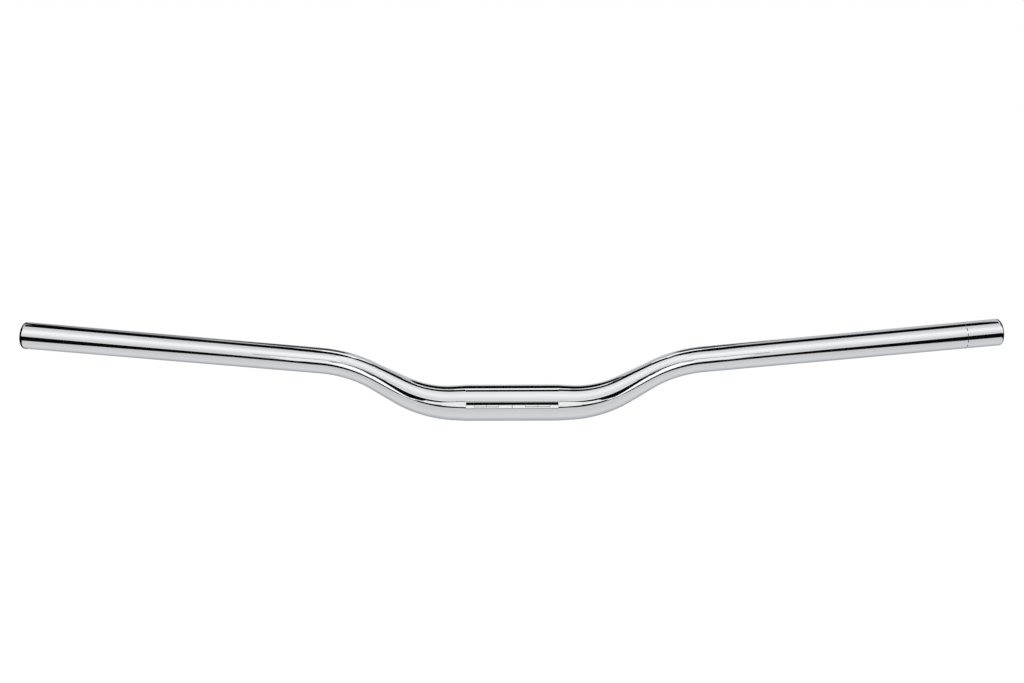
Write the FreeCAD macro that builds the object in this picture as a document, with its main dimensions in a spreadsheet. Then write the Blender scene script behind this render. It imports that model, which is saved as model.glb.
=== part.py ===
"""Riser handlebar for a bicycle: one drawn steel tube, swaged from a thick clamp zone down to thin
grips, bent twice on each side and open at both ends.

Frame: origin at the middle of the clamp zone, +X along the clamp zone to the rider's right,
+Y forward, away from the rider, +Z up. Millimetres and degrees.
"""
import FreeCAD, Part
import math
import os
import Sketcher

V = FreeCAD.Vector
Constraint = Sketcher.Constraint

# name, value, what it is
SIZES = [
    ("overall_width", 800.0, "between the centres of the two open ends"),
    ("clamp_diameter", 31.8, "outside of the clamp zone, where the stem holds the bar"),
    ("clamp_length", 80.0, "length of the plain cylinder of the clamp zone"),
    ("clamp_wall", 1.5, "wall of the clamp zone"),
    ("grip_diameter", 22.2, "outside of the grips"),
    ("grip_wall", 1.2, "wall of the grips"),
    ("lead_length", 11.0, "straight taper between the clamp zone and the first bend"),
    ("first_radius", 92.0, "centreline radius of the first bend"),
    ("first_turn", 30.2, "turn of the first bend"),
    ("rise_tilt", 20.0, "lean of the first bend's plane from upright, towards the rider"),
    ("riser_length", 27.5, "straight riser between the two bends"),
    ("second_radius", 114.0, "centreline radius of the second bend"),
    ("backsweep", 8.0, "grips towards the rider, seen from above"),
    ("upsweep", 5.4, "rise of the grips, seen from the front"),
    ("end_round", 0.8, "rounding of the outer edge of each open end"),
    ("end_bevel", 0.2, "bevel of the inner edge of each open end"),
]

doc = FreeCAD.newDocument("handlebar")

sizes = doc.addObject("Spreadsheet::Sheet", "sizes")
for row, (name, value, note) in enumerate(SIZES, start=1):
    sizes.set("A%d" % row, name)
    sizes.set("B%d" % row, "%g" % value)
    sizes.set("C%d" % row, note)
    sizes.setAlias("B%d" % row, name)
doc.recompute()

# The route of the right-hand half, as a tube bender is set: the first bend leaves the clamp axis in a
# plane that leans towards the rider, the tube is turned by the twist, and the second bend brings it
# to the direction of the grip.
ROUTE = [
    ("Angle", "turn", "sizes.first_turn * 1deg"),
    ("Angle", "tilt", "sizes.rise_tilt * 1deg"),
    # the grip's direction as a unit vector: to the right, towards the rider and up
    ("Float", "grip_x", "1 / sqrt(1 + tan(sizes.backsweep * 1deg)^2 + tan(sizes.upsweep * 1deg)^2)"),
    ("Float", "grip_back", "grip_x * tan(sizes.backsweep * 1deg)"),
    ("Float", "grip_up", "grip_x * tan(sizes.upsweep * 1deg)"),
    # the same in the riser's own axes: along it, across it in the first bend's plane, and out of that plane
    ("Float", "along", "grip_x * cos(turn) + (grip_back * sin(tilt) + grip_up * cos(tilt)) * sin(turn)"),
    ("Float", "across", "(grip_back * sin(tilt) + grip_up * cos(tilt)) * cos(turn) - grip_x * sin(turn)"),
    ("Float", "aside", "grip_back * cos(tilt) - grip_up * sin(tilt)"),
    ("Angle", "second_turn", "acos(along)"),
    ("Angle", "twist", "atan(aside / across)"),
    # the end of the riser in the first bend's plane
    ("Length", "riser_x",
     "(sizes.clamp_length / 2 + sizes.lead_length + sizes.first_radius * sin(turn)"
     " + sizes.riser_length * cos(turn)) * 1mm"),
    ("Length", "riser_y",
     "(sizes.first_radius * (1 - cos(turn)) + sizes.riser_length * sin(turn)) * 1mm"),
    ("Length", "bend_side", "sizes.second_radius * 1mm * tan(second_turn / 2)"),
    ("Length", "grip_length",
     "(sizes.overall_width * 1mm / 2 - riser_x - bend_side * (cos(turn) + grip_x)) / grip_x"),
    # where the first bend's plane, the second bend and the grip start, each with x along the tube
    ("Placement", "first_plane", "placement(vector(0; 0; 0); rotation(vector(1; 0; 0); tilt))"),
    ("Placement", "riser_top",
     "first_plane * placement(vector(riser_x; riser_y; 0mm); rotation(vector(0; 0; 1); turn))"
     " * placement(vector(0; 0; 0); rotation(vector(1; 0; 0); twist))"),
    ("Placement", "grip_start",
     "riser_top * placement(vector(bend_side * (1 + cos(second_turn)); -bend_side * sin(second_turn); 0mm);"
     " rotation(vector(0; 0; 1); -second_turn))"),
]
route = doc.addObject("App::VarSet", "route")
for kind, name, formula in ROUTE:
    route.addProperty("App::Property" + kind, name)
    route.setExpression(name, formula)
doc.recompute()

bar = doc.addObject("PartDesign::Body", "handlebar")
bar.Label = "handlebar"
planes = {feature.Role: feature for feature in bar.Origin.OriginFeatures}


def sketch(name, plane, offset):
    """A sketch on one of the body's origin planes, moved by the placement that the formula gives."""
    made = bar.newObject("Sketcher::SketchObject", name)
    made.AttachmentSupport = [(planes[plane], "")]
    made.MapMode = "FlatFace"
    made.setExpression("AttachmentOffset", offset)
    return made


def drive(made, constraint, formula):
    """A constraint whose value follows the formula."""
    number = made.addConstraint(constraint)
    made.setExpression("Constraints[%d]" % number, formula)


def ring(made, outer, inner):
    """Two circles about the sketch's origin, a tube's section, with the radii that the formulas give."""
    for start, formula in ((11.0, outer), (10.0, inner)):
        circle = made.addGeometry(Part.Circle(V(0, 0, 0), V(0, 0, 1), start))
        made.addConstraint(Constraint("Coincident", circle, 3, -1, 1))
        drive(made, Constraint("Radius", circle, start), formula)


# Section of the tube at the outer edge of the clamp zone
clamp_ring = sketch(
    "clamp_ring", "YZ_Plane",
    "placement(vector(0mm; 0mm; sizes.clamp_length / 2 * 1mm); rotation(vector(0; 0; 1); 0))")
ring(clamp_ring, "sizes.clamp_diameter / 2", "sizes.clamp_diameter / 2 - sizes.clamp_wall")

# Section of the tube at the top of the riser, square to it
riser_ring = sketch(
    "riser_ring", "XZ_Plane",
    "route.riser_top * placement(vector(0; 0; 0); rotation(vector(0; 1; 0); 90))")
ring(riser_ring, "sizes.grip_diameter / 2", "sizes.grip_diameter / 2 - sizes.grip_wall")

# Centreline of the taper: the straight lead, the first bend and the riser
turn = math.radians(route.turn.Value)
edge_x = sizes.clamp_length / 2
bend_x = edge_x + sizes.lead_length
bend_end = V(bend_x + sizes.first_radius * math.sin(turn), sizes.first_radius * (1 - math.cos(turn)), 0)
riser_end = V(route.riser_x.Value, route.riser_y.Value, 0)
lower_route = sketch("lower_route", "XZ_Plane", "route.first_plane")
lead = lower_route.addGeometry(Part.LineSegment(V(edge_x, 0, 0), V(bend_x, 0, 0)))
bend = lower_route.addGeometry(Part.ArcOfCircle(
    Part.Circle(V(bend_x, sizes.first_radius, 0), V(0, 0, 1), sizes.first_radius),
    -math.pi / 2, turn - math.pi / 2))
riser_line = lower_route.addGeometry(Part.LineSegment(bend_end, riser_end))
lower_route.addConstraint(Constraint("PointOnObject", lead, 1, -1))
lower_route.addConstraint(Constraint("Horizontal", lead))
lower_route.addConstraint(Constraint("Tangent", lead, 2, bend, 1))
lower_route.addConstraint(Constraint("Tangent", bend, 2, riser_line, 1))
drive(lower_route, Constraint("DistanceX", -1, 1, lead, 1, edge_x), "sizes.clamp_length / 2")
drive(lower_route, Constraint("Distance", lead, sizes.lead_length), "sizes.lead_length")
drive(lower_route, Constraint("Radius", bend, sizes.first_radius), "sizes.first_radius")
drive(lower_route, Constraint("Angle", bend, turn), "route.turn")
drive(lower_route, Constraint("Distance", riser_line, sizes.riser_length), "sizes.riser_length")

# Centreline of the second bend, which starts at the top of the riser and turns the other way
second_turn = math.radians(route.second_turn.Value)
upper_route = sketch("upper_route", "XZ_Plane", "route.riser_top")
second = upper_route.addGeometry(Part.ArcOfCircle(
    Part.Circle(V(0, -sizes.second_radius, 0), V(0, 0, 1), sizes.second_radius),
    math.pi / 2 - second_turn, math.pi / 2))
upper_route.addConstraint(Constraint("Coincident", second, 2, -1, 1))
upper_route.addConstraint(Constraint("PointOnObject", second, 3, -2))
drive(upper_route, Constraint("Radius", second, sizes.second_radius), "sizes.second_radius")
drive(upper_route, Constraint("Angle", second, second_turn), "route.second_turn")

# Wall of the straight grip, to be turned about its axis: rounded outer edge and bevelled inner edge at the end
end_x = route.grip_length.Value
outer = sizes.grip_diameter / 2
inner = outer - sizes.grip_wall
grip_section = sketch("grip_section", "XZ_Plane", "route.grip_start")
corners = [
    V(0, inner, 0),
    V(end_x - sizes.end_bevel, inner, 0),
    V(end_x, inner + sizes.end_bevel, 0),
    V(end_x, outer - sizes.end_round, 0),
    V(end_x - sizes.end_round, outer, 0),
    V(0, outer, 0),
]
bore, bevel, face = [
    grip_section.addGeometry(Part.LineSegment(corners[i], corners[i + 1])) for i in range(3)]
rounding = grip_section.addGeometry(Part.ArcOfCircle(
    Part.Circle(V(end_x - sizes.end_round, outer - sizes.end_round, 0), V(0, 0, 1), sizes.end_round),
    0, math.pi / 2))
outside = grip_section.addGeometry(Part.LineSegment(corners[4], corners[5]))
root = grip_section.addGeometry(Part.LineSegment(corners[5], corners[0]))
grip_section.addConstraint(Constraint("Coincident", bore, 2, bevel, 1))
grip_section.addConstraint(Constraint("Coincident", bevel, 2, face, 1))
grip_section.addConstraint(Constraint("Tangent", face, 2, rounding, 1))
grip_section.addConstraint(Constraint("Tangent", rounding, 2, outside, 1))
grip_section.addConstraint(Constraint("Coincident", outside, 2, root, 1))
grip_section.addConstraint(Constraint("Coincident", root, 2, bore, 1))
grip_section.addConstraint(Constraint("Horizontal", bore))
grip_section.addConstraint(Constraint("Vertical", face))
grip_section.addConstraint(Constraint("Horizontal", outside))
grip_section.addConstraint(Constraint("PointOnObject", root, 1, -2))
grip_section.addConstraint(Constraint("PointOnObject", root, 2, -2))
drive(grip_section, Constraint("DistanceX", -1, 1, face, 1, end_x), "route.grip_length")
drive(grip_section, Constraint("DistanceY", -1, 1, root, 1, outer), "sizes.grip_diameter / 2")
drive(grip_section, Constraint("Distance", root, sizes.grip_wall), "sizes.grip_wall")
drive(grip_section, Constraint("Radius", rounding, sizes.end_round), "sizes.end_round")
drive(grip_section, Constraint("DistanceX", bevel, 1, bevel, 2, sizes.end_bevel), "sizes.end_bevel")
drive(grip_section, Constraint("DistanceY", bevel, 1, bevel, 2, sizes.end_bevel), "sizes.end_bevel")
doc.recompute()

# The clamp zone, one straight cylinder across the middle
clamp_zone = bar.newObject("PartDesign::Pad", "clamp_zone")
clamp_zone.Profile = clamp_ring
clamp_zone.Reversed = True
clamp_zone.setExpression("Length", "sizes.clamp_length * 1mm")
doc.recompute()

# The swaged taper, which narrows all the way through the first bend and up the riser
taper = bar.newObject("PartDesign::AdditivePipe", "taper")
taper.Profile = clamp_ring
taper.Sections = [(riser_ring, [""])]
taper.Spine = (lower_route, ["Edge1", "Edge2", "Edge3"])
taper.Transformation = "Multisection"
doc.recompute()

# The second bend, at the grip's size
second_bend = bar.newObject("PartDesign::AdditivePipe", "second_bend")
second_bend.Profile = riser_ring
second_bend.Spine = (upper_route, ["Edge1"])
doc.recompute()

# The straight grip with its open end
grip = bar.newObject("PartDesign::Revolution", "grip")
grip.Profile = grip_section
grip.ReferenceAxis = (grip_section, ["H_Axis"])
grip.Angle = 360
doc.recompute()

# The other half
other_half = bar.newObject("PartDesign::Mirrored", "other_half")
other_half.Originals = [taper, second_bend, grip]
other_half.MirrorPlane = (planes["YZ_Plane"], [""])
bar.Tip = other_half
doc.recompute()

for thing in doc.Objects:
    if "Invalid" in thing.State or "Error" in thing.State:
        raise RuntimeError("%s did not compute: %s" % (thing.Name, thing.State))

shape = bar.Shape
if shape.isNull() or not shape.isValid() or len(shape.Solids) != 1:
    raise RuntimeError("the handlebar is not one sound solid")

os.makedirs("parts", exist_ok=True)
shape.exportStep("parts/%s.step" % bar.Label)
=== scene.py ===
import math

import bpy
import numpy as np
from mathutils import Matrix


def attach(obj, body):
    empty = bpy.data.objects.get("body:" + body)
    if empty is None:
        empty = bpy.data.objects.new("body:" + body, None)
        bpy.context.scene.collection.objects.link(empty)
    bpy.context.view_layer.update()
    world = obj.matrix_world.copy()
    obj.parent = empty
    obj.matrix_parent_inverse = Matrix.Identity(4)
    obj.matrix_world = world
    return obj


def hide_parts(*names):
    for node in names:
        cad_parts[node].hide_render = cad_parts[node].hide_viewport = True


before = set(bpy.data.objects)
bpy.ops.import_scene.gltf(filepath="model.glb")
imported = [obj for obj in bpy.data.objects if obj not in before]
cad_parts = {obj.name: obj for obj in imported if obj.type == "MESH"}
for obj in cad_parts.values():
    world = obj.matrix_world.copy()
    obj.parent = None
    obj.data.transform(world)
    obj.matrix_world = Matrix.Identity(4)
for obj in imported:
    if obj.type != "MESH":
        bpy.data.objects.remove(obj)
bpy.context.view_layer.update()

MM = 0.001

# Sizes of the bar in millimetres and radians, as in the part's source.
OVERALL_WIDTH = 800.0
CLAMP_RADIUS = 15.9
CLAMP_HALF = 40.0
CLAMP_WALL = 1.5
GRIP_RADIUS = 11.1
GRIP_WALL = 1.2
LEAD_LENGTH = 11.0
FIRST_RADIUS = 92.0
FIRST_TURN = math.radians(30.2)
RISE_TILT = math.radians(20.0)
RISER_LENGTH = 27.5
SECOND_RADIUS = 114.0
BACKSWEEP = math.radians(8.0)
UPSWEEP = math.radians(5.4)
END_BEVEL = 0.2

# The lip at each end, a longer round than the solid's.
LIP_LENGTH = 2.6
LIP_DEPTH = 0.95

# Directions of the route's straight runs on the right half.
RIGHT = np.array([1.0, 0.0, 0.0])
TOWARDS_RIDER = np.array([0.0, -1.0, 0.0])
LEAN = np.array([0.0, -math.sin(RISE_TILT), math.cos(RISE_TILT)])
RISER_WAY = math.cos(FIRST_TURN) * RIGHT + math.sin(FIRST_TURN) * LEAN
GRIP_WAY = np.array([1.0, -math.tan(BACKSWEEP), math.tan(UPSWEEP)])
GRIP_WAY /= np.linalg.norm(GRIP_WAY)
SECOND_TURN = math.acos(RISER_WAY @ GRIP_WAY)
SECOND_SIDE = GRIP_WAY - math.cos(SECOND_TURN) * RISER_WAY
SECOND_SIDE /= np.linalg.norm(SECOND_SIDE)

# Lengths along the centre line, from the middle of the bar.
BEND_START = CLAMP_HALF + LEAD_LENGTH
RISER_START = BEND_START + FIRST_RADIUS * FIRST_TURN
RISER_END = RISER_START + RISER_LENGTH
GRIP_START = RISER_END + SECOND_RADIUS * SECOND_TURN

# Mesh fineness: faces round the tube, steps round a lip and up a curved panel, and half the length of the
# fine rows at the clamp zone's edge.
AROUND = 160
LIP_STEPS = 12
ARCH_STEPS = 24
CLAMP_EDGE_BLEND = 0.5

# Printed marks: how far they stand out of the surface and reach into it, and their steps along and round.
MARK_PROUD = 0.02
MARK_SUNK = 0.05
MARK_STEPS = 4

# A plain scale for centring the stem: lengths along the bar in millimetres, angles round it in radians.
SCALE_ANGLE = math.radians(-9.5)
LINE_START = 11.3
LINE_STOP = 32.9
LINE_HALF = 0.25 / CLAMP_RADIUS
TICK_PLACES = np.array([11.5, 22.1, 32.7])
TICK_HALF = 0.18
TICK_TOP = 0.085
MIDDLE_TICK_HALF = 0.25
MIDDLE_TICK_SPAN = 0.10

# A dashed ring near the right end that shows where the grip may be cut short.
RING_FROM_END = 27.5
DASHES = 14
DASH_HALF_LENGTH = 0.3
DASH_HALF_SPAN = 0.13

# The camera on the rider's side, in metres and radians, as fitted to the outline in the photograph.
IMAGE_WIDTH = 1024
FOCAL_PIXELS = 846.22
SENSOR_WIDTH = 36.0
CAMERA_PLACE = (-0.00077, -0.74455, 0.05333)
CAMERA_TURN = (math.radians(90.03), math.radians(0.195), math.radians(-0.062))

# The studio, in metres. Depths are negative on the rider's side.
STUDIO_HALF = 1.1
CEILING_HEIGHT = 0.82
FLOOR_HEIGHT = -0.42
FLOOR_NEAR = -0.585
FLOOR_FAR = 1.3
WALL_FOOT = -0.75
FRONT_DEPTH = -0.80
FRONT_RISE = 0.14
BACK_DEPTH = 1.6
BACK_RISE = 0.10
SIDE_PLACE = 0.95
SIDE_NEAR = -0.79
SIDE_FAR = 1.5
END_PLACE = 0.4105

# Depths of the upright cards in front of and behind the bar, and heights of the level ones above it. Where
# two cards lie a few millimetres apart, the one nearer to the bar hides the other.
BOUNCE_DEPTH = -0.772
SEAM_DEPTH = -0.765
DARK_DEPTH = -0.76
FILL_DEPTH = -0.112
INNER_DEPTH = -0.111
NEAR_DEPTH = -0.11
BACK_ROOM_DEPTH = 1.35
LAMP_HEIGHT = 0.805
DUSK_HEIGHT = 0.803
EDGE_HEIGHT = 0.802
STRIP_HEIGHT = 0.80
SHADE_HEIGHT = 0.25
LINE_HEIGHT = 0.249
VEIL_HEIGHT = 0.085
CLAMP_SHADE_HEIGHT = 0.076


def right_half(along):
    """Place and direction on the right half's centre line, from its length measured from the middle. Each run
    adds what it covers of that length: straight to the end of the lead, an arc in the leaning plane, straight
    up the riser, an arc in the plane of riser and grip, and straight along the grip."""
    straight = np.clip(along, 0.0, BEND_START)[:, None]
    first = (np.clip(along - BEND_START, 0.0, FIRST_RADIUS * FIRST_TURN) / FIRST_RADIUS)[:, None]
    riser = np.clip(along - RISER_START, 0.0, RISER_LENGTH)[:, None]
    second = (np.clip(along - RISER_END, 0.0, SECOND_RADIUS * SECOND_TURN) / SECOND_RADIUS)[:, None]
    grip = np.clip(along - GRIP_START, 0.0, None)[:, None]
    place = straight * RIGHT
    place = place + FIRST_RADIUS * (np.sin(first) * RIGHT + (1.0 - np.cos(first)) * LEAN)
    place = place + riser * RISER_WAY
    place = place + SECOND_RADIUS * (np.sin(second) * RISER_WAY + (1.0 - np.cos(second)) * SECOND_SIDE)
    place = place + grip * GRIP_WAY
    before = np.cos(first) * RIGHT + np.sin(first) * LEAN
    after = np.cos(second) * RISER_WAY + np.sin(second) * SECOND_SIDE
    return place, np.where(second > 0.0, after, before)


GRIP_LENGTH = (OVERALL_WIDTH / 2 - right_half(np.array([GRIP_START]))[0][0, 0]) / GRIP_WAY[0]
TIP = GRIP_START + GRIP_LENGTH


def route(along):
    """Place and direction on the whole centre line, from a length that is negative on the left half, which is
    the right half with x turned round."""
    place, way = right_half(np.abs(along))
    left = (along < 0.0)[:, None]
    place = np.where(left, place * [-1.0, 1.0, 1.0], place)
    way = np.where(left, way * [1.0, -1.0, -1.0], way)
    return place, way


def wrapped(along, radius, angle):
    """Points at a radius and an angle round the centre line: place + radius (cos angle front + sin angle
    top), with front the direction to the rider squared to the centre line, and top at right angles to
    both."""
    place, way = route(along)
    front = TOWARDS_RIDER - (way @ TOWARDS_RIDER)[:, None] * way
    front = front / np.linalg.norm(front, axis=1)[:, None]
    top = np.cross(front, way)
    return place + radius[:, None] * (np.cos(angle)[:, None] * front + np.sin(angle)[:, None] * top)


def outside(along):
    """Outer radius: the clamp zone's, then a straight taper along the route to the riser's end, then the
    grip's."""
    return np.interp(np.abs(along), (CLAMP_HALF, RISER_END), (CLAMP_RADIUS, GRIP_RADIUS))


def inside(along):
    """Inner radius, with its own straight taper over the same length."""
    narrow = GRIP_RADIUS - GRIP_WALL
    wide = CLAMP_RADIUS - CLAMP_WALL
    return np.interp(np.abs(along), (CLAMP_HALF, RISER_END), (wide, narrow))


def runs(*limits):
    """Lengths along the bar through runs that follow on each other, each with its start, stop and steps."""
    return np.concatenate([np.linspace(start, stop, steps, endpoint=False) for start, stop, steps in limits])


def wall_loop():
    """Lengths and radii of the tube wall's outline on the right half, from the middle along the outside,
    round the lip and back along the inside, and whether each is inside."""
    outer = runs(
        (0.0, CLAMP_HALF - CLAMP_EDGE_BLEND, 10),
        (CLAMP_HALF - CLAMP_EDGE_BLEND, CLAMP_HALF + CLAMP_EDGE_BLEND, 4),
        (CLAMP_HALF + CLAMP_EDGE_BLEND, BEND_START, 8),
        (BEND_START, RISER_START, 56),
        (RISER_START, RISER_END, 14),
        (RISER_END, GRIP_START, 52),
        (GRIP_START, TIP - LIP_LENGTH, 40),
    )
    turn = np.linspace(0.0, math.pi / 2, LIP_STEPS + 1)
    lip_along = TIP - LIP_LENGTH + LIP_LENGTH * np.sin(turn)
    lip_radius = GRIP_RADIUS - LIP_DEPTH + LIP_DEPTH * np.cos(turn)
    inner = runs(
        (TIP - END_BEVEL, GRIP_START, 12),
        (GRIP_START, RISER_END, 20),
        (RISER_END, RISER_START, 6),
        (RISER_START, BEND_START, 20),
        (BEND_START, CLAMP_HALF, 4),
        (CLAMP_HALF, 0.0, 4),
    )
    inner = np.append(inner, 0.0)
    bevel_radius = GRIP_RADIUS - GRIP_WALL + END_BEVEL
    along = np.concatenate([outer, lip_along, [TIP], inner])
    radius = np.concatenate([outside(outer), lip_radius, [bevel_radius], inside(inner)])
    within = np.arange(len(along)) >= len(outer) + len(lip_along)
    return along, radius, within


def new_piece(name, points, faces, materials):
    """A piece at the origin from points in millimetres and four-cornered faces."""
    mesh = bpy.data.meshes.new(name)
    mesh.from_pydata((points * MM).tolist(), [], faces.tolist())
    mesh.shade_smooth()
    for material in materials:
        mesh.materials.append(material)
    mesh.update()
    piece = bpy.data.objects.new(name, mesh)
    bpy.context.scene.collection.objects.link(piece)
    return piece


def tube(name, materials):
    """The whole tube: the wall's closed outline carried round the centre line, a grid that closes on itself
    both ways. Its map runs along the bar and round it, with the seam at the back."""
    half_along, half_radius, half_within = wall_loop()
    along = np.concatenate([half_along, -half_along[-2:0:-1]])
    radius = np.concatenate([half_radius, half_radius[-2:0:-1]])
    within = np.concatenate([half_within, half_within[-2:0:-1]])
    rows = len(along)
    angle = np.linspace(-math.pi, math.pi, AROUND, endpoint=False)
    row, column = np.meshgrid(np.arange(rows), np.arange(AROUND), indexing="ij")
    points = wrapped(along[row.ravel()], radius[row.ravel()], angle[column.ravel()])
    next_row = (row + 1) % rows
    next_column = (column + 1) % AROUND
    corners = ((row, column), (next_row, column), (next_row, next_column), (row, next_column))
    faces = np.stack([(r * AROUND + c).ravel() for r, c in corners], axis=1)
    piece = new_piece(name, points, faces, materials)
    far = along[next_row]
    spread = np.stack([along[row], far, far, along[row]], axis=-1) / TIP
    turn = np.stack([column, column, column + 1, column + 1], axis=-1) / AROUND
    wrap = piece.data.uv_layers.new(name="wrap")
    wrap.data.foreach_set("uv", np.stack([spread, turn], axis=-1).ravel())
    lining = (within[row] & within[next_row]).ravel().astype(np.int32)
    piece.data.polygons.foreach_set("material_index", lining)
    return piece


def marks(name, starts, stops, lows, highs, material):
    """Thin printed marks on the tube, one for each row of the four arrays: a small block bent round the tube,
    its top a hair above the surface and its underside a hair below. Length along the bar and angle run evenly
    between each mark's limits."""
    share = np.linspace(0.0, 1.0, MARK_STEPS + 1)
    mark, level, far, high = np.meshgrid(np.arange(len(starts)), np.arange(2), share, share, indexing="ij")
    along = starts[mark] + (stops - starts)[mark] * far
    angle = lows[mark] + (highs - lows)[mark] * high
    radius = outside(along) + np.where(level == 1, MARK_PROUD, -MARK_SUNK)
    points = wrapped(along.ravel(), radius.ravel(), angle.ravel())
    number = np.arange(points.shape[0]).reshape(mark.shape)
    lower = number[:, 0]
    upper = number[:, 1]
    top = np.stack([upper[:, :-1, :-1], upper[:, 1:, :-1], upper[:, 1:, 1:], upper[:, :-1, 1:]], axis=-1)
    under = np.stack([lower[:, :-1, :-1], lower[:, :-1, 1:], lower[:, 1:, 1:], lower[:, 1:, :-1]], axis=-1)
    sides = (number[:, :, :-1, 0], number[:, :, -1, :-1], number[:, :, :0:-1, -1], number[:, :, 0, :0:-1])
    rim = np.concatenate(sides, axis=2)
    onward = np.roll(rim, -1, axis=2)
    wall = np.stack([rim[:, 0], onward[:, 0], onward[:, 1], rim[:, 1]], axis=-1)
    faces = np.concatenate([top.reshape(-1, 4), under.reshape(-1, 4), wall.reshape(-1, 4)])
    return new_piece(name, points, faces, (material,))


def card(name, grid, material):
    """A studio card: a sheet through a grid of points in metres, unseen by the camera and mapped from 0 to 1
    both ways."""
    rows, columns = grid.shape[:2]
    number = np.arange(rows * columns).reshape(rows, columns)
    corners = (number[:-1, :-1], number[1:, :-1], number[1:, 1:], number[:-1, 1:])
    faces = np.stack(corners, axis=-1).reshape(-1, 4)
    piece = new_piece(name, grid.reshape(-1, 3) / MM, faces, (material,))
    up, across = np.meshgrid(np.linspace(0.0, 1.0, rows), np.linspace(0.0, 1.0, columns), indexing="ij")
    spread = np.stack([across, up], axis=-1).reshape(-1, 2)
    sheet = piece.data.uv_layers.new(name="sheet")
    sheet.data.foreach_set("uv", spread[faces.ravel()].ravel())
    piece.visible_camera = False
    return piece


def outline(*rows):
    """A card's outline from rows of a place across and the card's two edges there: low and high on an upright
    card, near and far on a level one."""
    return np.array(rows).T


def band(left, right, start, stop):
    """The outline of a card with straight edges."""
    return outline((left, start, stop), (right, start, stop))


def studio_wide(start, stop):
    """The outline of a card as wide as the studio."""
    return band(-STUDIO_HALF, STUDIO_HALF, start, stop)


def both_sides(right):
    """An outline given for the right half from the middle out, carried on to the left half."""
    left = right[:, :0:-1] * [[-1.0], [1.0], [1.0]]
    return np.concatenate([left, right], axis=1)


def on_side(right, side):
    """An outline given for the right half, as it is (side 1) or turned over to the left half (side -1)."""
    return right[:, ::side] * [[side], [1.0], [1.0]]


def upright(edges, depth):
    """Grid of an upright card at one depth, from its lower to its upper edge."""
    across, low, high = edges
    height = np.stack([low, high])
    return np.stack([np.broadcast_to(across, height.shape), np.full(height.shape, depth), height], axis=-1)


def level_sheet(edges, height):
    """Grid of a level card at one height, from its near to its far edge."""
    across, near, far = edges
    depth = np.stack([near, far])
    return np.stack([np.broadcast_to(across, depth.shape), depth, np.full(depth.shape, height)], axis=-1)


def side_wall(place, near, far, low, top):
    """Grid of an upright card at one place across, between two depths and two heights."""
    height, depth = np.meshgrid([low, top], [near, far], indexing="ij")
    return np.stack([np.full(height.shape, place), depth, height], axis=-1)


def arch(half_width, foot, top):
    """Grid of a curved panel: a quarter of an ellipse that rises straight up from its foot and leans over to
    its top, each a depth and a height, carried across."""
    turn = np.linspace(0.0, math.pi / 2, ARCH_STEPS + 1)[:, None]
    across = np.array([-half_width, half_width])
    depth = top[0] + (foot[0] - top[0]) * np.cos(turn)
    height = foot[1] + (top[1] - foot[1]) * np.sin(turn)
    shape = (len(turn), len(across))
    return np.stack([np.broadcast_to(part, shape) for part in (across, depth, height)], axis=-1)


def new_material(name):
    """A new material with its nodes and links."""
    material = bpy.data.materials.new(name)
    material.use_nodes = True
    return material, material.node_tree.nodes, material.node_tree.links


def new_ramp(nodes, stops):
    """A colour ramp through stops in rising order, each a position and a colour."""
    ramp = nodes.new("ShaderNodeValToRGB")
    elements = ramp.color_ramp.elements
    for index, (position, colour) in enumerate(stops):
        stop = elements[index] if index < 2 else elements.new(position)
        stop.position = position
        stop.color = (*colour, 1.0)
    return ramp


def new_range(nodes, source, result):
    """A node that carries a value from its source limits to its result limits."""
    level = nodes.new("ShaderNodeMapRange")
    level.inputs["From Min"].default_value = source[0]
    level.inputs["From Max"].default_value = source[1]
    level.inputs["To Min"].default_value = result[0]
    level.inputs["To Max"].default_value = result[1]
    return level


def noise_on_map(nodes, links, scale, detail):
    """Noise on the tube's own map, with a scale along the bar and one round it."""
    wrap = nodes.new("ShaderNodeUVMap")
    wrap.uv_map = "wrap"
    stretch = nodes.new("ShaderNodeMapping")
    stretch.inputs["Scale"].default_value = (*scale, 1.0)
    noise = nodes.new("ShaderNodeTexNoise")
    noise.inputs["Scale"].default_value = 1.0
    noise.inputs["Detail"].default_value = detail
    links.new(wrap.outputs["UV"], stretch.inputs["Vector"])
    links.new(stretch.outputs["Vector"], noise.inputs["Vector"])
    return noise


def noise_in_place(nodes, links, scale, detail):
    """Noise in the object's own space."""
    place = nodes.new("ShaderNodeTexCoord")
    noise = nodes.new("ShaderNodeTexNoise")
    noise.inputs["Scale"].default_value = scale
    noise.inputs["Detail"].default_value = detail
    links.new(place.outputs["Object"], noise.inputs["Vector"])
    return noise


def chrome_plate():
    """Bright chrome: a mirror with fine polishing marks round the bar and a faint haze in its tint."""
    material, nodes, links = new_material("chrome_plate")
    shader = nodes["Principled BSDF"]
    shader.inputs["Metallic"].default_value = 1.0
    polish = noise_on_map(nodes, links, scale=(260.0, 9.0), detail=4.0)
    roughness = new_range(nodes, source=(0.3, 0.7), result=(0.008, 0.02))
    haze = noise_in_place(nodes, links, scale=14.0, detail=3.0)
    tint = new_ramp(nodes, ((0.3, (0.775, 0.790, 0.810)), (0.7, (0.815, 0.825, 0.840))))
    links.new(polish.outputs["Fac"], roughness.inputs["Value"])
    links.new(roughness.outputs["Result"], shader.inputs["Roughness"])
    links.new(haze.outputs["Fac"], tint.inputs["Fac"])
    links.new(tint.outputs["Color"], shader.inputs["Base Color"])
    return material


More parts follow.
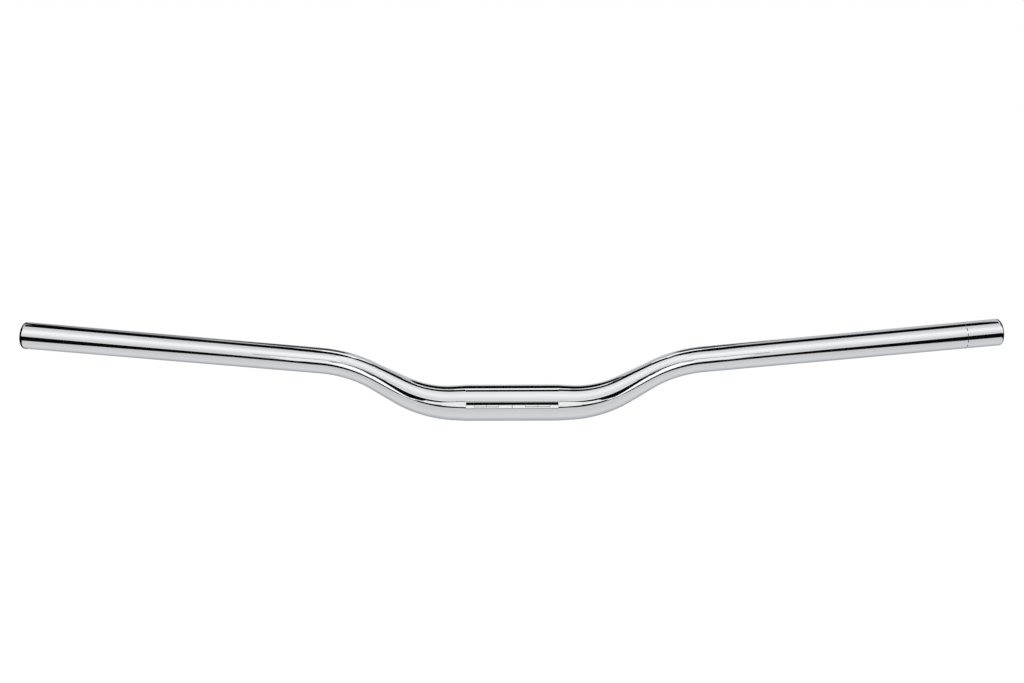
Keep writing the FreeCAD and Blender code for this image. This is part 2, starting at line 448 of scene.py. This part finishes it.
def bore_steel():
    """Bare drawn steel inside the tube: dull, with long lines in its tint, its roughness and its surface."""
    material, nodes, links = new_material("bore_steel")
    shader = nodes["Principled BSDF"]
    shader.inputs["Metallic"].default_value = 1.0
    draw_lines = noise_on_map(nodes, links, scale=(6.0, 140.0), detail=5.0)
    tint = new_ramp(nodes, ((0.3, (0.20, 0.20, 0.205)), (0.75, (0.38, 0.375, 0.37))))
    roughness = new_range(nodes, source=(0.3, 0.7), result=(0.38, 0.6))
    grooves = nodes.new("ShaderNodeBump")
    grooves.inputs["Strength"].default_value = 0.15
    grooves.inputs["Distance"].default_value = 0.0002
    links.new(draw_lines.outputs["Fac"], tint.inputs["Fac"])
    links.new(draw_lines.outputs["Fac"], roughness.inputs["Value"])
    links.new(draw_lines.outputs["Fac"], grooves.inputs["Height"])
    links.new(tint.outputs["Color"], shader.inputs["Base Color"])
    links.new(roughness.outputs["Result"], shader.inputs["Roughness"])
    links.new(grooves.outputs["Normal"], shader.inputs["Normal"])
    return material


def mark_ink():
    """Dark matt ink with a fine grain."""
    material, nodes, links = new_material("mark_ink")
    shader = nodes["Principled BSDF"]
    grain = noise_in_place(nodes, links, scale=900.0, detail=3.0)
    tint = new_ramp(nodes, ((0.35, (0.045, 0.046, 0.050)), (0.7, (0.105, 0.107, 0.112))))
    roughness = new_range(nodes, source=(0.0, 1.0), result=(0.45, 0.75))
    links.new(grain.outputs["Fac"], tint.inputs["Fac"])
    links.new(grain.outputs["Fac"], roughness.inputs["Value"])
    links.new(tint.outputs["Color"], shader.inputs["Base Color"])
    links.new(roughness.outputs["Result"], shader.inputs["Roughness"])
    return material


def glow(name, stops, strength=1.0):
    """A card's material: light whose level follows a ramp up the card's map."""
    material, nodes, links = new_material(name)
    nodes.clear()
    end = nodes.new("ShaderNodeOutputMaterial")
    light = nodes.new("ShaderNodeEmission")
    light.inputs["Strength"].default_value = strength
    ramp = new_ramp(nodes, stops)
    apart = nodes.new("ShaderNodeSeparateXYZ")
    sheet = nodes.new("ShaderNodeUVMap")
    sheet.uv_map = "sheet"
    links.new(sheet.outputs["UV"], apart.inputs["Vector"])
    links.new(apart.outputs["Y"], ramp.inputs["Fac"])
    links.new(ramp.outputs["Color"], light.inputs["Color"])
    links.new(light.outputs["Emission"], end.inputs["Surface"])
    return material


def even_glow(name, colour, strength=1.0):
    """A card's material with one level all over."""
    return glow(name, ((0.0, colour), (1.0, colour)), strength)


def floor_paper():
    """White paper to the camera, with the bar's faint shadow, and grey in the chrome, darkest at the back."""
    material, nodes, links = new_material("floor_paper")
    nodes.clear()
    end = nodes.new("ShaderNodeOutputMaterial")
    rays = nodes.new("ShaderNodeLightPath")
    seen = nodes.new("ShaderNodeMixShader")
    white_paper = nodes.new("ShaderNodeMixShader")
    white_paper.inputs["Fac"].default_value = 0.85
    matt = nodes.new("ShaderNodeBsdfDiffuse")
    matt.inputs["Color"].default_value = (0.9, 0.9, 0.9, 1.0)
    white = nodes.new("ShaderNodeEmission")
    white.inputs["Strength"].default_value = 1.12
    in_chrome = nodes.new("ShaderNodeEmission")
    place = nodes.new("ShaderNodeTexCoord")
    apart = nodes.new("ShaderNodeSeparateXYZ")
    depth = new_range(nodes, source=(FLOOR_NEAR, FLOOR_FAR), result=(0.0, 1.0))
    shade = new_ramp(nodes, (
        (0.0, (0.68, 0.68, 0.69)),
        (0.32, (0.80, 0.80, 0.81)),
        (0.5, (0.50, 0.51, 0.53)),
        (1.0, (0.28, 0.29, 0.31)),
    ))
    links.new(place.outputs["Object"], apart.inputs["Vector"])
    links.new(apart.outputs["Y"], depth.inputs["Value"])
    links.new(depth.outputs["Result"], shade.inputs["Fac"])
    links.new(shade.outputs["Color"], in_chrome.inputs["Color"])
    links.new(matt.outputs["BSDF"], white_paper.inputs[1])
    links.new(white.outputs["Emission"], white_paper.inputs[2])
    links.new(rays.outputs["Is Camera Ray"], seen.inputs["Fac"])
    links.new(in_chrome.outputs["Emission"], seen.inputs[1])
    links.new(white_paper.outputs["Shader"], seen.inputs[2])
    links.new(seen.outputs["Shader"], end.inputs["Surface"])
    return material


# The bar, with its inside in bare steel.
bar = tube("handlebar_tube", (chrome_plate(), bore_steel()))
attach(bar, "root")
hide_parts("handlebar")

# The scale: a line and its ticks on each side, and one tick in the middle.
ink = mark_ink()
ticks = np.concatenate([-TICK_PLACES, TICK_PLACES])
starts = np.concatenate([[-LINE_STOP, LINE_START], ticks - TICK_HALF, [-MIDDLE_TICK_HALF]])
stops = np.concatenate([[-LINE_START, LINE_STOP], ticks + TICK_HALF, [MIDDLE_TICK_HALF]])
lows = np.array([-LINE_HALF] * 2 + [LINE_HALF] * len(ticks) + [-MIDDLE_TICK_SPAN]) + SCALE_ANGLE
highs = np.array([LINE_HALF] * 2 + [TICK_TOP] * len(ticks) + [MIDDLE_TICK_SPAN]) + SCALE_ANGLE
centring_scale = marks("centring_scale", starts, stops, lows, highs, ink)
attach(centring_scale, "root")

# The dashed ring.
ring_place = np.full(DASHES, TIP - RING_FROM_END)
dash = np.arange(DASHES) * (2.0 * math.pi / DASHES)
trim_ring = marks("trim_ring", ring_place - DASH_HALF_LENGTH, ring_place + DASH_HALF_LENGTH,
                  dash - DASH_HALF_SPAN, dash + DASH_HALF_SPAN, ink)
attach(trim_ring, "root")

# The camera.
camera_data = bpy.data.cameras.new("camera")
camera_data.sensor_width = SENSOR_WIDTH
camera_data.lens = SENSOR_WIDTH * FOCAL_PIXELS / IMAGE_WIDTH
camera_data.dof.use_dof = False
camera = bpy.data.objects.new("camera", camera_data)
camera.location = CAMERA_PLACE
camera.rotation_euler = CAMERA_TURN
bpy.context.scene.collection.objects.link(camera)
bpy.context.scene.camera = camera

# Light levels of the studio's cards.
soft_white = glow("soft_white", (
    (0.0, (0.74, 0.74, 0.745)),
    (0.30, (0.975, 0.975, 0.975)),
    (0.38, (0.975, 0.975, 0.975)),
    (0.48, (0.90, 0.905, 0.91)),
    (0.62, (0.77, 0.78, 0.79)),
    (0.76, (0.67, 0.68, 0.69)),
    (1.0, (0.63, 0.645, 0.655)),
), strength=1.15)
middle_white = glow("middle_white", (
    (0.0, (0.655, 0.66, 0.665)),
    (0.45, (0.915, 0.915, 0.915)),
    (0.56, (0.935, 0.935, 0.935)),
    (0.68, (0.905, 0.905, 0.905)),
    (0.80, (0.82, 0.825, 0.83)),
    (1.0, (0.83, 0.835, 0.84)),
), strength=1.15)
low_white = glow("low_white", (
    (0.0, (0.66, 0.66, 0.67)),
    (0.22, (0.67, 0.67, 0.68)),
    (0.34, (0.78, 0.78, 0.785)),
    (1.0, (0.78, 0.785, 0.79)),
))
back_white = glow("back_white", (
    (0.0, (0.50, 0.505, 0.515)),
    (0.4, (0.80, 0.81, 0.83)),
    (1.0, (0.50, 0.505, 0.52)),
))
hem_white = glow("hem_white", ((0.0, (0.98, 0.98, 0.98)), (1.0, (0.86, 0.86, 0.865))))
bright_white = even_glow("bright_white", (1.0, 1.0, 1.0), strength=1.02)
lamp_white = even_glow("lamp_white", (1.0, 1.0, 1.0), strength=1.25)
floor_white = even_glow("floor_white", (0.72, 0.72, 0.725))
pale_grey = even_glow("pale_grey", (0.60, 0.605, 0.62))
dusk = glow("dusk_grey", (
    (0.0, (0.22, 0.22, 0.23)),
    (0.38, (0.42, 0.42, 0.43)),
    (0.70, (0.16, 0.16, 0.165)),
    (1.0, (0.10, 0.10, 0.105)),
))
dim = glow("dim_grey", ((0.0, (0.02, 0.02, 0.02)), (0.5, (0.06, 0.06, 0.065)), (1.0, (0.05, 0.05, 0.055))))
black = glow("black_cloth", ((0.0, (0.002, 0.002, 0.002)), (1.0, (0.004, 0.004, 0.004))))

# The front of the studio: a tall curved panel on a low wall, and a small curved panel for the bar's middle.
front_foot = (FRONT_DEPTH, FRONT_RISE)
front_top = (-0.20, CEILING_HEIGHT)
middle_half = 0.102
middle_foot = (-0.25, 0.075)
middle_top = (-0.0712, 0.253)
card("card_front_arch", arch(STUDIO_HALF, front_foot, front_top), soft_white)
card("card_middle_arch", arch(middle_half, middle_foot, middle_top), middle_white)
card("card_front_low", upright(studio_wide(WALL_FOOT, FRONT_RISE), FRONT_DEPTH), low_white)

# Cards before the low wall: a bright bounce, a dark seam and a dark patch for the bar's middle, and a dark
# room for the line along the bar's lower half.
bounce = band(-0.20, 0.20, -0.48, 0.13)
seam = band(-0.22, 0.22, 0.125, 0.16)
patch = outline((0.0, -0.155, 0.085), (0.088, -0.16, 0.085), (0.0885, -0.16, -0.02), (0.115, -0.21, -0.15))
dark_room = outline(
    (0.0, -0.525, -0.475),
    (0.10, -0.525, -0.475),
    (0.105, -0.60, -0.29),
    (0.14, -0.62, -0.23),
    (0.17, -0.62, -0.20),
    (0.19, -0.60, -0.225),
    (0.22, -0.54, -0.175),
    (0.26, -0.48, -0.15),
    (0.33, -0.44, -0.11),
    (0.45, -0.48, -0.085),
    (0.57, -0.53, -0.03),
    (0.72, -0.59, 0.01),
    (STUDIO_HALF, -0.70, 0.08),
)
card("card_bounce", upright(bounce, BOUNCE_DEPTH), bright_white)
card("card_seam", upright(seam, SEAM_DEPTH), black)
card("card_camera", upright(both_sides(patch), DARK_DEPTH), black)
card("card_dark_room", upright(both_sides(dark_room), DARK_DEPTH), black)

# The ceiling, and the dark strip under it for the line along the bar's upper half. The strip is a little
# narrower on the left, where a black edge and a grey card carry it on to the back.
ceiling = studio_wide(-0.25, 0.80)
strip = both_sides(outline(
    (0.0, -0.18, 0.04),
    (0.09, -0.18, 0.04),
    (0.13, -0.28, 0.04),
    (0.155, -0.27, 0.06),
    (0.175, -0.23, 0.11),
    (0.20, -0.21, 0.165),
    (0.24, -0.20, 0.20),
    (0.30, -0.21, 0.21),
    (0.34, -0.22, 0.22),
    (0.42, -0.22, 0.22),
    (0.65, -0.21, 0.22),
))
strip_trim = 0.022
strip_trim_run = (-0.30, -0.24)
strip[1] += np.interp(strip[0], strip_trim_run, (strip_trim, 0.0))
strip_edge = outline(
    (-0.85, 0.15, 0.55),
    (-0.70, 0.15, 0.42),
    (-0.60, 0.15, 0.30),
    (-0.45, 0.15, 0.265),
    (-0.36, 0.15, 0.215),
)
strip_left = outline((-0.95, 0.17, 1.50), (-0.60, 0.17, 1.10), (-0.45, 0.17, 0.95), (-0.40, 0.17, 0.80))
lamp = outline(
    (-0.24, -0.02, 0.30),
    (-0.15, -0.02, 0.30),
    (-0.10, -0.02, 0.20),
    (0.10, -0.02, 0.20),
    (0.15, -0.02, 0.30),
    (0.24, -0.02, 0.30),
)
card("card_ceiling", level_sheet(ceiling, CEILING_HEIGHT), pale_grey)
card("card_strip", level_sheet(strip, STRIP_HEIGHT), black)
card("card_strip_edge", level_sheet(strip_edge, EDGE_HEIGHT), black)
card("card_strip_left", level_sheet(strip_left, DUSK_HEIGHT), dusk)
card("card_lamp", level_sheet(lamp, LAMP_HEIGHT), lamp_white)

# Low level cards: one close over the clamp zone, and one behind the second bend on each side.
shade = outline(
    (-0.070, 0.055, 0.066),
    (-0.0635, 0.0095, 0.066),
    (0.0672, 0.0095, 0.066),
    (0.072, 0.0095, 0.013),
)
shade_left = outline(
    (-0.29, 0.10, 0.36),
    (-0.24, 0.085, 0.33),
    (-0.20, 0.065, 0.28),
    (-0.175, 0.05, 0.25),
    (-0.145, 0.05, 0.24),
    (-0.115, 0.07, 0.22),
)
shade_right = outline(
    (0.115, 0.058, 0.21),
    (0.150, 0.055, 0.22),
    (0.172, 0.042, 0.23),
    (0.205, 0.080, 0.25),
    (0.23, 0.13, 0.28),
    (0.29, 0.15, 0.30),
)
card("card_shade", level_sheet(shade, CLAMP_SHADE_HEIGHT), black)
card("card_shade_left", level_sheet(shade_left, SHADE_HEIGHT), dim)
card("card_shade_right", level_sheet(shade_right, SHADE_HEIGHT), dim)

# The back and the sides.
back_foot = (BACK_DEPTH, BACK_RISE)
back_top = (0.80, CEILING_HEIGHT)
back_room = studio_wide(-0.48, -0.30)
card("card_back_arch", arch(STUDIO_HALF, back_foot, back_top), back_white)
card("card_back_low", upright(studio_wide(WALL_FOOT, BACK_RISE), BACK_DEPTH), pale_grey)
card("card_back_room", upright(back_room, BACK_ROOM_DEPTH), black)
card("card_side_right", side_wall(SIDE_PLACE, SIDE_NEAR, SIDE_FAR, FLOOR_HEIGHT, CEILING_HEIGHT), back_white)
card("card_side_left", side_wall(-SIDE_PLACE, SIDE_NEAR, SIDE_FAR, FLOOR_HEIGHT, CEILING_HEIGHT), back_white)

# Small cards close to the bar's ends, for the dark and bright rims of the lips.
card("card_end_left", side_wall(-END_PLACE, near=-0.084, far=-0.031, low=0.035, top=0.090), black)
card("card_end_right", side_wall(END_PLACE, near=-0.072, far=-0.031, low=0.043, top=0.090), black)
card("card_end_band", side_wall(END_PLACE, near=-0.083, far=-0.072, low=0.038, top=0.057), black)
card("card_end_white", side_wall(END_PLACE, near=-0.083, far=-0.072, low=0.057, top=0.090), lamp_white)

# Small cards close in front of each riser, given for the right side: a dark one, the bright ones round it,
# and a pale one low down.
near = outline(
    (0.050, 0.0185, 0.0245),
    (0.066, 0.0180, 0.0240),
    (0.0695, 0.014, 0.0215),
    (0.0715, 0.005, 0.0205),
    (0.0745, 0.001, 0.0210),
    (0.078, -0.002, 0.0235),
    (0.082, -0.009, 0.0275),
    (0.086, -0.019, 0.0315),
    (0.0945, -0.030, 0.0365),
    (0.0975, -0.019, 0.0375),
    (0.1005, -0.005, 0.0385),
    (0.1035, 0.0085, 0.040),
    (0.107, 0.016, 0.041),
    (0.1115, 0.029, 0.042),
    (0.1205, 0.036, 0.043),
    (0.129, 0.038, 0.0425),
)
above_part = slice(1, 8)
above_height = 0.014
above_low = near[2, above_part]
above = np.stack([near[0, above_part], above_low, above_low + above_height])
fill = outline(
    (0.091, -0.036, 0.010),
    (0.0945, -0.039, 0.005),
    (0.1035, -0.041, 0.027),
    (0.1115, -0.036, 0.036),
    (0.1205, -0.027, 0.039),
    (0.129, -0.016, 0.039),
    (0.150, 0.003, 0.030),
)
inner = outline(
    (0.050, -0.045, -0.02),
    (0.064, -0.044, -0.02),
    (0.070, -0.038, -0.02),
    (0.075, -0.032, -0.02),
)
under = outline(
    (0.050, -0.11, -0.066),
    (0.064, -0.11, -0.061),
    (0.074, -0.11, -0.057),
    (0.087, -0.11, -0.050),
    (0.10, -0.11, -0.047),
    (0.108, -0.11, -0.048),
    (0.125, -0.11, -0.053),
)

# Small level cards over each riser, given for the right side: a pale veil with a dark band behind it close
# over the bar, and higher up a dark line with a gleam behind it and a pale hem. The line lies a little nearer
# to the rider on the left.
veil = outline(
    (0.050, -0.06, -0.0225),
    (0.062, -0.06, -0.0218),
    (0.075, -0.06, -0.0205),
    (0.086, -0.06, -0.0215),
    (0.095, -0.06, -0.0265),
    (0.110, -0.06, -0.0295),
    (0.117, -0.06, -0.031),
)
band_across = np.array([0.050, 0.0605, 0.062, 0.066, 0.078, 0.089, 0.098, 0.113, 0.118])
band_far = np.array([0.000, 0.001, 0.004, 0.0138, 0.012, 0.007, -0.0025, -0.010, -0.013])
dark_band = np.stack([band_across, np.interp(band_across, veil[0], veil[2]), band_far])
hem = band(0.066, 0.095, -0.12, -0.066)
line = outline(
    (0.064, -0.060, -0.014),
    (0.074, -0.069, -0.009),
    (0.080, -0.076, -0.005),
    (0.086, -0.083, -0.002),
    (0.094, -0.089, 0.000),
    (0.108, -0.095, 0.000),
    (0.120, -0.094, 0.001),
    (0.158, -0.097, -0.001),
)
line_shift = 0.006
gleam_far = 0.05
for name, side in (("left", -1), ("right", 1)):
    shifted = line + side * np.array([[0.0], [line_shift], [line_shift]])
    gleam = np.stack([shifted[0], shifted[2], np.full(len(shifted[0]), gleam_far)])
    card("card_near_" + name, upright(on_side(near, side), NEAR_DEPTH), black)
    card("card_above_" + name, upright(on_side(above, side), NEAR_DEPTH), hem_white)
    card("card_under_" + name, upright(on_side(under, side), NEAR_DEPTH), floor_white)
    card("card_inner_" + name, upright(on_side(inner, side), INNER_DEPTH), bright_white)
    card("card_fill_" + name, upright(on_side(fill, side), FILL_DEPTH), lamp_white)
    card("card_veil_" + name, level_sheet(on_side(veil, side), VEIL_HEIGHT), hem_white)
    card("card_band_" + name, level_sheet(on_side(dark_band, side), VEIL_HEIGHT), black)
    card("card_hem_" + name, level_sheet(on_side(hem, side), SHADE_HEIGHT), hem_white)
    card("card_line_" + name, level_sheet(on_side(shifted, side), LINE_HEIGHT), black)
    card("card_gleam_" + name, level_sheet(on_side(gleam, side), LINE_HEIGHT), lamp_white)

# The floor, the only card that the camera sees.
floor = card("floor", level_sheet(studio_wide(FLOOR_NEAR, FLOOR_FAR), FLOOR_HEIGHT), floor_paper())
floor.visible_camera = True

# The air: white behind everything to the camera, and weaker as light.
world = bpy.data.worlds.new("studio")
world.use_nodes = True
bpy.context.scene.world = world
nodes = world.node_tree.nodes
links = world.node_tree.links
air = nodes["Background"]
air.inputs["Color"].default_value = (1.0, 1.0, 1.0, 1.0)
rays = nodes.new("ShaderNodeLightPath")
air_level = new_range(nodes, source=(0.0, 1.0), result=(0.6, 1.0))
links.new(rays.outputs["Is Camera Ray"], air_level.inputs["Value"])
links.new(air_level.outputs["Result"], air.inputs["Strength"])
bpy.context.scene.view_settings.view_transform = "Standard"
